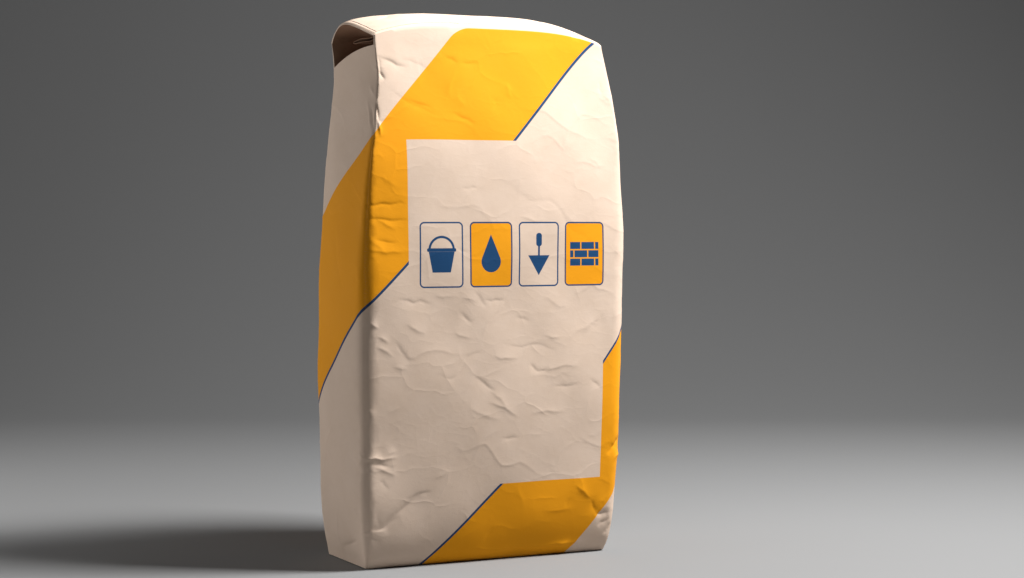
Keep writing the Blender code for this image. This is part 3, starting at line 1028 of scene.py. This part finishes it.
# Roughness at the darkest and the palest tone, and what ink adds to it
SACK_ROUGHNESS = (0.78, 0.86)
PATCH_ROUGHNESS = (0.66, 0.76)
KRAFT_ROUGHNESS = (0.80, 0.88)
MIX_ROUGHNESS = (0.85, 0.95)
INK_ROUGHNESS = -0.06
# Greatest wear of the ink at the folds, and the fibre tones between which it comes in
INK_WEAR = 0.18
FIBRE_WEAR = (0.45, 0.7)
# Painted highlight on the pocket's roof: how much paler than other brown paper the roof is painted, and
# from what height above the corners
ROOF_HIGHLIGHT_GAIN = 1.9
ROOF_HIGHLIGHT_START = 0.004
# Depth of the bump at a height of 1
SACK_BUMP = 0.0010
PATCH_BUMP = 0.0008
SAND_BUMP = 0.0006
# Share of full crinkle that the plain papers have
PATCH_CRINKLE = 0.7
KRAFT_CRINKLE = 0.8
# Noises: features to the metre, detail and roughness
MOTTLE_NOISE = (55.0, 4.0, 0.6)
CLOUD_NOISE = (9.0, 2.0, 0.5)
KRAFT_NOISE = (60.0, 3.0, 0.6)
SAND_NOISE = (700.0, 4.0, 0.7)
FIBRE_NOISE = (900.0, 3.0, 0.6)
FINE_NOISE = (170.0, 2.0, 0.5)
MOTTLE_SHARE = 0.55
CLOUD_SHARE = 0.45
# Crinkles are ridges between chance cells: the place is bent and drawn out first
BEND_NOISE = (28.0, 2.0, 0.5)
BEND = 0.024
DRAWN_OUT = (0.55, 1.0, 1.0)
CLUSTER_NOISE = (34.0, 2.0, 0.6)
# Cells to the metre and half width of their ridges, and the cluster noise where they are none and full
LARGE_RIDGES = (40.0, 0.0060)
LARGE_WHERE = (0.44, 0.64)
SMALL_RIDGES = (95.0, 0.0030)
SMALL_WHERE = (0.56, 0.42)
RIDGE_POWER = 3.0
# Bump heights of ridges, of the small ones as a share of the large, of fine crumple and of fibres
RIDGE_HEIGHT = 0.11
SMALL_SHARE = 0.22
FINE_HEIGHT = 0.065
FIBRE_HEIGHT = 0.06
# Layout of a node tree in the editor: nodes in a row, and the steps between nodes and between rows
NODES_IN_ROW = 12
NODE_STEP = (180, 240)


class Sketch:
    """Short ways to add nodes and links to one node tree."""

    def __init__(self, tree):
        self.tree = tree
        self.column = 0

    def node(self, kind, *inputs, **settings):
        node = self.tree.nodes.new(kind)
        self.column += 1
        row, place = divmod(self.column, NODES_IN_ROW)
        node.location = (place * NODE_STEP[0], -row * NODE_STEP[1])
        for name, value in settings.items():
            setattr(node, name, value)
        for socket, value in zip(node.inputs, inputs):
            self.feed(socket, value)
        return node

    def feed(self, socket, value):
        if value is None:
            return
        if isinstance(value, bpy.types.NodeSocket):
            self.tree.links.new(value, socket)
        else:
            socket.default_value = value

    def math(self, operation, *values, clamp=False):
        return self.node("ShaderNodeMath", *values, operation=operation, use_clamp=clamp).outputs[0]

    def mix(self, share, first, second):
        node = self.node("ShaderNodeMix", data_type="RGBA")
        self.feed(node.inputs[0], share)
        self.feed(node.inputs[6], first)
        self.feed(node.inputs[7], second)
        return node.outputs[2]

    def noise(self, vector, scale, detail, rough, output="Fac"):
        node = self.node("ShaderNodeTexNoise")
        self.feed(node.inputs["Vector"], vector)
        self.feed(node.inputs["Scale"], scale)
        self.feed(node.inputs["Detail"], detail)
        self.feed(node.inputs["Roughness"], rough)
        return node.outputs[output]

    def ridges(self, vector, scale, width):
        """1 on the borders of chance cells, falling to 0 at width from them, steepest at the border."""
        node = self.node("ShaderNodeTexVoronoi", feature="DISTANCE_TO_EDGE", voronoi_dimensions="2D")
        self.feed(node.inputs["Vector"], vector)
        self.feed(node.inputs["Scale"], scale)
        near = self.ramp(node.outputs["Distance"], 0.0, width * scale, 1.0, 0.0)
        return self.math("POWER", near, RIDGE_POWER)

    def vector(self, operation, *values):
        return self.node("ShaderNodeVectorMath", *values, operation=operation).outputs[0]

    def ramp(self, value, low, high, to_low=0.0, to_high=1.0):
        node = self.node("ShaderNodeMapRange", value, low, high, to_low, to_high)
        return node.outputs[0]


def colour(rgb):
    return (*rgb, 1.0)


def group(name, inputs, outputs, build):
    """A node group with named sockets, built once."""
    tree = bpy.data.node_groups.get(name)
    if tree:
        return tree
    tree = bpy.data.node_groups.new(name, "ShaderNodeTree")
    for title, kind in inputs:
        tree.interface.new_socket(title, in_out="INPUT", socket_type=kind)
    for title, kind in outputs:
        tree.interface.new_socket(title, in_out="OUTPUT", socket_type=kind)
    sketch = Sketch(tree)
    given = sketch.node("NodeGroupInput").outputs
    made = build(sketch, given)
    end = sketch.node("NodeGroupOutput")
    for title, socket in made.items():
        tree.links.new(socket, end.inputs[title])
    return tree


def use_group(sketch, tree, **values):
    node = sketch.node("ShaderNodeGroup", node_tree=tree)
    for title, value in values.items():
        sketch.feed(node.inputs[title], value)
    return node.outputs


def paper_grain_group():
    """Fibres, mottle and fine crinkle of paper."""

    def build(sketch, given):
        place, coarse = given["Place"], given["Crinkle"]
        mottle = sketch.noise(place, *MOTTLE_NOISE)
        fibre = sketch.noise(place, *FIBRE_NOISE)
        cloud = sketch.noise(place, *CLOUD_NOISE)
        clouds = sketch.math("MULTIPLY", cloud, CLOUD_SHARE)
        tone = sketch.math("MULTIPLY_ADD", mottle, MOTTLE_SHARE, clouds)
        bend = sketch.noise(place, *BEND_NOISE, "Color")
        bent = sketch.vector("MULTIPLY_ADD", bend, (BEND,) * 3, place)
        drawn = sketch.vector("MULTIPLY", bent, DRAWN_OUT)
        cluster = sketch.noise(drawn, *CLUSTER_NOISE)
        large, small = [
            sketch.math("MULTIPLY", sketch.ridges(drawn, *ridges), sketch.ramp(cluster, *where))
            for ridges, where in ((LARGE_RIDGES, LARGE_WHERE), (SMALL_RIDGES, SMALL_WHERE))
        ]
        lines = sketch.math("MULTIPLY_ADD", small, SMALL_SHARE, large)
        fine = sketch.noise(place, *FINE_NOISE)
        crumple = sketch.math("MULTIPLY", fine, FINE_HEIGHT)
        height = sketch.math("MULTIPLY_ADD", lines, RIDGE_HEIGHT, crumple)
        height = sketch.math("MULTIPLY", height, coarse)
        height = sketch.math("MULTIPLY_ADD", fibre, FIBRE_HEIGHT, height)
        return {"Tone": tone, "Fibre": fibre, "Height": height}

    return group(
        "paper_grain",
        (("Place", "NodeSocketVector"), ("Crinkle", "NodeSocketFloat")),
        (("Tone", "NodeSocketFloat"), ("Fibre", "NodeSocketFloat"), ("Height", "NodeSocketFloat")),
        build,
    )


class Field:
    """A value over the surface that can be written in formulas, made of math nodes."""

    def __init__(self, sketch, socket):
        self.sketch = sketch
        self.socket = socket

    def made(self, operation, *values, clamp=False):
        sockets = [value.socket if isinstance(value, Field) else value for value in values]
        return Field(self.sketch, self.sketch.math(operation, *sockets, clamp=clamp))

    def __add__(self, other):
        return self.made("ADD", self, other)

    __radd__ = __add__

    def __sub__(self, other):
        return self.made("SUBTRACT", self, other)

    def __rsub__(self, other):
        return self.made("SUBTRACT", other, self)

    def __mul__(self, other):
        return self.made("MULTIPLY", self, other)

    def __neg__(self):
        return self * -1.0

    def __abs__(self):
        return self.made("ABSOLUTE", self)

    def least(self, *others):
        total = self
        for other in others:
            total = self.made("MINIMUM", total, other)
        return total

    def most(self, *others):
        total = self
        for other in others:
            total = self.made("MAXIMUM", total, other)
        return total

    def length_with(self, other):
        return self.made("SQRT", self * self + other * other)

    def ink(self):
        """1 where the field is over 0, with a soft edge."""
        return self.made("MULTIPLY_ADD", self, 1 / INK_EDGE, 0.5, clamp=True)


def over_edge(p, q, edge):
    """Distance of a paper place above a band's edge, in metres."""
    start, slope = edge
    return (q - p * slope - start) * (1 / math.hypot(1.0, slope))


def in_box(p, q, middle, half, corner=0.0):
    """Distance inside a rectangle with rounded corners, in metres."""
    across = half[0] - abs(p - middle[0])
    up = half[1] - abs(q - middle[1])
    if not corner:
        return across.least(up)
    beyond = (corner - across).most(0.0).length_with((corner - up).most(0.0))
    return corner - beyond


def in_disc(p, q, middle, radius):
    return radius - (p - middle[0]).length_with(q - middle[1])


def in_wedge(p, q, tip, spread, base):
    """Distance inside a triangle from its tip to the height base.

    Its half width at each height is spread times the height from the tip.
    """
    away = abs(p - tip[0])
    if base < tip[1]:
        return ((tip[1] - q) * spread - away).least(q - base)
    return ((q - tip[1]) * spread - away).least(base - q)


def bucket_picture(p, q, x, y):
    """A body that widens from its foot, a rim and an arched handle."""
    foot, brim, rim_middle = y - 0.016, y + 0.003, y + 0.0045
    foot_half, widening = 0.0088, 0.20
    handle_radius, handle_half = 0.0118, 0.0011
    side = foot_half + (q - foot) * widening - abs(p - x)
    body = side.least(q - foot, brim - q)
    rim = in_box(p, q, (x, rim_middle), (0.0142, 0.0016), 0.0012)
    arc = handle_half - abs((p - x).length_with(q - rim_middle) - handle_radius)
    return body.most(rim, arc.least(q - rim_middle))


def drop_picture(p, q, x, y):
    """A disc with a wedge on it that runs to a tip."""
    middle, tip, wedge_foot = y - 0.0065, y + 0.0185, y - 0.0027
    radius, spread = 0.0098, 0.425
    disc = in_disc(p, q, (x, middle), radius)
    return disc.most(in_wedge(p, q, (x, tip), spread, wedge_foot))


def trowel_picture(p, q, x, y):
    """A blade with its tip down, a neck and a handle."""
    tip, shoulder, neck_middle, handle_middle = y - 0.0195, y - 0.001, y + 0.003, y + 0.0135
    blade_spread = 0.62
    blade = in_wedge(p, q, (x, tip), blade_spread, shoulder)
    neck = in_box(p, q, (x, neck_middle), (0.0010, 0.0055))
    handle = in_box(p, q, (x, handle_middle), (0.0030, 0.0062), 0.0026)
    return blade.most(neck, handle)


def brick_picture(p, q, x, y):
    """Three courses of bricks, each half a brick on from the one below."""
    length, course, joint = 0.0150, 0.0078, 0.0006
    half = (0.0160, 1.5 * course)
    row = (q - (y - half[1])) * (1 / course)
    odd = row.made("PINGPONG", row.made("FLOOR", row), 1.0)
    along = (p - (x - 1.25 * length)) + odd * (length / 2)
    across = length / 2 - abs(row.made("WRAP", along, length, 0.0) - length / 2)
    up = (0.5 - abs(row.made("FRACT", row) - 0.5)) * course
    wall = in_box(p, q, (x, y), half)
    return across.least(up).least(wall) - joint


def printed_design(sketch, place):
    """Masks of the band ink and the line ink on the flat paper."""
    split = sketch.node("ShaderNodeSeparateXYZ", place).outputs
    p, q = Field(sketch, split[0]), Field(sketch, split[1])
    width = bpy.context.scene.sack_paper.line_width
    middle = [(low + high) / 2 for low, high in zip(PANEL_LOW, PANEL_HIGH)]
    half = [(high - low) / 2 for low, high in zip(PANEL_LOW, PANEL_HIGH)]
    free = (FAR_OFF_PRINT / 2 - p).least(-in_box(p, q, middle, half))

    below_high = -over_edge(p, q, UPPER_BAND_HIGH)
    above_low = over_edge(p, q, UPPER_BAND_LOW)
    below_top = BAND_TOP - q
    corner = (BAND_CORNER - below_high).most(0.0).length_with((BAND_CORNER - below_top).most(0.0))
    upper = (BAND_CORNER - corner).least(above_low)
    upper_line = above_low.least(width - above_low, below_top)
    leaning_q = q - (p - HIGH_EDGE_LEAN[0]).most(0.0) * HIGH_EDGE_LEAN[1]
    over_high = over_edge(p, leaning_q, LOWER_BAND_HIGH)
    lower = (-over_high).least(over_edge(p, q, LOWER_BAND_LOW))
    lower_line = (-over_high).least(width + over_high)
    band = upper.most(lower).least(free)
    line = upper_line.most(lower_line).least(free)

    pictures = (bucket_picture, drop_picture, trowel_picture, brick_picture)
    for k, picture in enumerate(pictures):
        x, y = PICTURE_FIRST[0] + k * PICTURE_STEP, PICTURE_FIRST[1]
        cell = in_box(p, q, (x, y), PICTURE_HALF, PICTURE_CORNER)
        frame_line = cell.least(PICTURE_LINE - cell)
        line = line.most(frame_line, picture(p, q, x, y))
        if k % 2:
            band = band.most(cell)
    return band.ink().socket, line.ink().socket


def material_of(build):
    """The material under build's name, made by build when it is first asked for."""
    material = bpy.data.materials.get(build.__name__)
    if not material:
        material = bpy.data.materials.new(build.__name__)
        material.use_nodes = True
        build(Sketch(material.node_tree), material.node_tree.nodes["Principled BSDF"])
    return material


def object_place(sketch):
    return sketch.node("ShaderNodeTexCoord").outputs["Object"]


def shaded(sketch, tone, palest, shade):
    """The palest colour where tone is 1, and that colour times shade where it is 0."""
    dark = colour([part * share for part, share in zip(palest, shade)])
    return sketch.mix(tone, dark, colour(palest))


def coat(sketch, shader, base, roughness, height, depth):
    """Feeds the colour, the roughness and a bump of that depth into the shader."""
    bump = sketch.node("ShaderNodeBump")
    bump.inputs["Strength"].default_value = 1.0
    bump.inputs["Distance"].default_value = depth
    sketch.feed(bump.inputs["Height"], height)
    sketch.feed(shader.inputs["Base Color"], base)
    sketch.feed(shader.inputs["Roughness"], roughness)
    sketch.feed(shader.inputs["Normal"], bump.outputs[0])


def printed_sack_paper(sketch, shader):
    """Off-white outer paper with printed bands, worn a little at the folds."""
    paper = bpy.context.scene.sack_paper
    place = sketch.node("ShaderNodeUVMap", uv_map="print").outputs[0]
    grain = use_group(sketch, paper_grain_group(), Place=place, Crinkle=1.0)
    band, line = printed_design(sketch, place)
    bare = shaded(sketch, sketch.ramp(grain["Tone"], *TONE_RANGE), paper.paper, SACK_SHADE)
    fold = sketch.node("ShaderNodeAttribute", attribute_name="fold").outputs["Fac"]
    worn = sketch.math("MULTIPLY", fold, sketch.ramp(grain["Fibre"], *FIBRE_WEAR))
    cover = sketch.math("SUBTRACT", 1.0, sketch.math("MULTIPLY", worn, INK_WEAR))
    inked = sketch.mix(sketch.math("MULTIPLY", band, cover), bare, colour(paper.ink))
    lined = sketch.mix(sketch.math("MULTIPLY", line, cover), inked, colour(paper.line_ink))
    ink = sketch.math("MAXIMUM", band, line)
    bare_rough = sketch.ramp(grain["Tone"], *TONE_RANGE, *SACK_ROUGHNESS)
    rough = sketch.math("MULTIPLY_ADD", ink, INK_ROUGHNESS, bare_rough)
    shader.inputs["Specular IOR Level"].default_value = PAPER_SHINE
    coat(sketch, shader, lined, rough, grain["Height"], SACK_BUMP)


def plain_strip_paper(sketch, shader):
    """Plain off-white paper of the cover patches."""
    paper = bpy.context.scene.sack_paper
    place = object_place(sketch)
    grain = use_group(sketch, paper_grain_group(), Place=place, Crinkle=PATCH_CRINKLE)
    bare = shaded(sketch, sketch.ramp(grain["Tone"], *TONE_RANGE), paper.paper, PATCH_SHADE)
    rough = sketch.ramp(grain["Tone"], *TONE_RANGE, *PATCH_ROUGHNESS)
    shader.inputs["Specular IOR Level"].default_value = PAPER_SHINE
    coat(sketch, shader, bare, rough, grain["Height"], PATCH_BUMP)


def brown_inner_paper(sketch, shader):
    """Brown kraft paper of the pocket's inside and the valve sleeve, with a painted highlight that makes
    the pocket's roof paler the higher it lies.
    """
    paper = bpy.context.scene.sack_paper
    place = object_place(sketch)
    grain = use_group(sketch, paper_grain_group(), Place=place, Crinkle=KRAFT_CRINKLE)
    tone = sketch.ramp(sketch.noise(place, *KRAFT_NOISE), *NOISE_RANGE)
    brown = shaded(sketch, tone, paper.kraft, KRAFT_SHADE)
    height = sketch.node("ShaderNodeSeparateXYZ", place).outputs[2]
    # Painted highlight: the kraft turns paler up the pocket's roof, where light falls on it
    painted_roof_highlight = sketch.ramp(height, TOP_Z + ROOF_HIGHLIGHT_START, TOP_Z + MOUTH_RISE / 2)
    pale = colour([part * ROOF_HIGHLIGHT_GAIN for part in paper.kraft])
    rough = sketch.ramp(grain["Tone"], *TONE_RANGE, *KRAFT_ROUGHNESS)
    shader.inputs["Specular IOR Level"].default_value = PAPER_SHINE
    coat(sketch, shader, sketch.mix(painted_roof_highlight, brown, pale), rough, grain["Height"], PATCH_BUMP)


def cement_and_sand(sketch, shader):
    """Dry grey cement and sand."""
    sand = sketch.noise(object_place(sketch), *SAND_NOISE)
    tone = sketch.ramp(sand, *NOISE_RANGE)
    grey = shaded(sketch, tone, bpy.context.scene.sack_paper.mix, MIX_SHADE)
    coat(sketch, shader, grey, sketch.ramp(sand, *TONE_RANGE, *MIX_ROUGHNESS), sand, SAND_BUMP)


def studio_floor(sketch, shader):
    """Plain grey floor and backdrop."""
    cloud = sketch.noise(object_place(sketch), *FLOOR_NOISE)
    grey = shaded(sketch, cloud, bpy.context.scene.sack_stage.floor, FLOOR_SHADE)
    sketch.feed(shader.inputs["Base Color"], grey)
    shader.inputs["Roughness"].default_value = FLOOR_ROUGHNESS


# Stage

CAMERA_PLACE = (-0.82594, -1.74744, 0.31998)
CAMERA_TURN = (math.radians(88.045), 0.0, math.radians(-26.515))
BACKDROP_WIDTH = 9.0
BACKDROP_FRONT = -4.0
BACKDROP_BACK = 1.3
BACKDROP_HEIGHT = 4.0
BACKDROP_BEND = 1.2
BACKDROP_STEPS = 24
FLOOR_NOISE = (3.0, 3.0, 0.5)
FLOOR_SHADE = (0.97, 0.97, 0.97)
FLOOR_ROUGHNESS = 0.8
# Place and size of each lamp
KEY_LAMP = ((0.70, -0.50, 1.50), 0.4)
SIDE_LAMP = ((-1.00, 0.75, 0.28), 0.8)


def add_lamp(name, place, size, power):
    """A square lamp that faces the sack's middle."""
    lamp = bpy.data.lights.new(name, "AREA")
    lamp.size = size
    lamp.energy = power
    obj = bpy.data.objects.new(name, lamp)
    bpy.context.scene.collection.objects.link(obj)
    obj.location = place
    middle = Vector((0.0, 0.0, (SACK_LOW.z + SACK_HIGH.z) / 2))
    obj.rotation_euler = (middle - obj.location).to_track_quat("-Z", "Y").to_euler()


def make_backdrop():
    """A floor that bends up into a wall behind the sack."""
    outline = [(BACKDROP_FRONT, 0.0)]
    for step in range(BACKDROP_STEPS + 1):
        turn = math.pi / 2 * step / BACKDROP_STEPS
        y = BACKDROP_BACK + BACKDROP_BEND * math.sin(turn)
        outline.append((y, BACKDROP_BEND * (1 - math.cos(turn))))
    outline.append((BACKDROP_BACK + BACKDROP_BEND, BACKDROP_HEIGHT))
    sweep = bmesh.new()
    rows = [
        [sweep.verts.new((side * BACKDROP_WIDTH / 2, y, z)) for y, z in outline] for side in (-1, 1)
    ]
    for k in range(len(outline) - 1):
        sweep.faces.new((rows[0][k], rows[1][k], rows[1][k + 1], rows[0][k + 1]))
    mesh = bpy.data.meshes.new("backdrop")
    sweep.to_mesh(mesh)
    sweep.free()
    mesh.shade_smooth()
    backdrop = new_piece("backdrop", mesh, (material_of(studio_floor),))
    backdrop.rotation_euler = (0.0, 0.0, CAMERA_TURN[2])


class SACK_OT_make_stage(bpy.types.Operator):
    """Makes the floor, the lamps and the camera"""

    bl_idname = "sack.make_stage"
    bl_label = "Make Stage"

    def execute(self, context):
        stage = context.scene.sack_stage
        make_backdrop()
        add_lamp("key_lamp", *KEY_LAMP, stage.key_power)
        add_lamp("side_lamp", *SIDE_LAMP, stage.side_power)
        world = bpy.data.worlds.new("studio")
        world.use_nodes = True
        background = world.node_tree.nodes["Background"]
        background.inputs["Color"].default_value = (1.0, 1.0, 1.0, 1.0)
        background.inputs["Strength"].default_value = stage.sky
        context.scene.world = world
        camera = bpy.data.cameras.new("camera")
        camera.lens = stage.lens
        camera.sensor_width = 36.0
        camera.clip_start = 0.01
        view = bpy.data.objects.new("camera", camera)
        context.scene.collection.objects.link(view)
        view.location = CAMERA_PLACE
        view.rotation_euler = CAMERA_TURN
        context.scene.camera = view
        context.scene.view_settings.view_transform = "Standard"
        return {"FINISHED"}


class SACK_PT_panel(bpy.types.Panel):
    bl_idname = "SACK_PT_panel"
    bl_label = "Filled Valve Sack"
    bl_space_type = "VIEW_3D"
    bl_region_type = "UI"
    bl_category = "Sack"

    def draw(self, context):
        for title in SETTINGS:
            settings = getattr(context.scene, title)
            box = self.layout.box()
            for name in settings.__annotations__:
                box.prop(settings, name)
        for operator in OPERATORS:
            self.layout.operator(operator.bl_idname)


SETTINGS = {
    "sack_form": SackFormSettings,
    "sack_creases": CreaseSettings,
    "sack_paper": PaperSettings,
    "sack_stage": StageSettings,
}
OPERATORS = (
    SACK_OT_make_skin,
    SACK_OT_make_fill,
    SACK_OT_make_sleeve,
    SACK_OT_make_patches,
    SACK_OT_make_stage,
)


def register():
    for kind in (*SETTINGS.values(), *OPERATORS, SACK_PT_panel):
        bpy.utils.register_class(kind)
    for title, kind in SETTINGS.items():
        setattr(bpy.types.Scene, title, PointerProperty(type=kind))


def unregister():
    for title in SETTINGS:
        delattr(bpy.types.Scene, title)
    for kind in (SACK_PT_panel, *reversed(OPERATORS), *SETTINGS.values()):
        bpy.utils.unregister_class(kind)


def main():
    register()
    for operator in OPERATORS:
        family, name = operator.bl_idname.split(".")
        getattr(getattr(bpy.ops, family), name)()


if __name__ == "__main__":
    main()
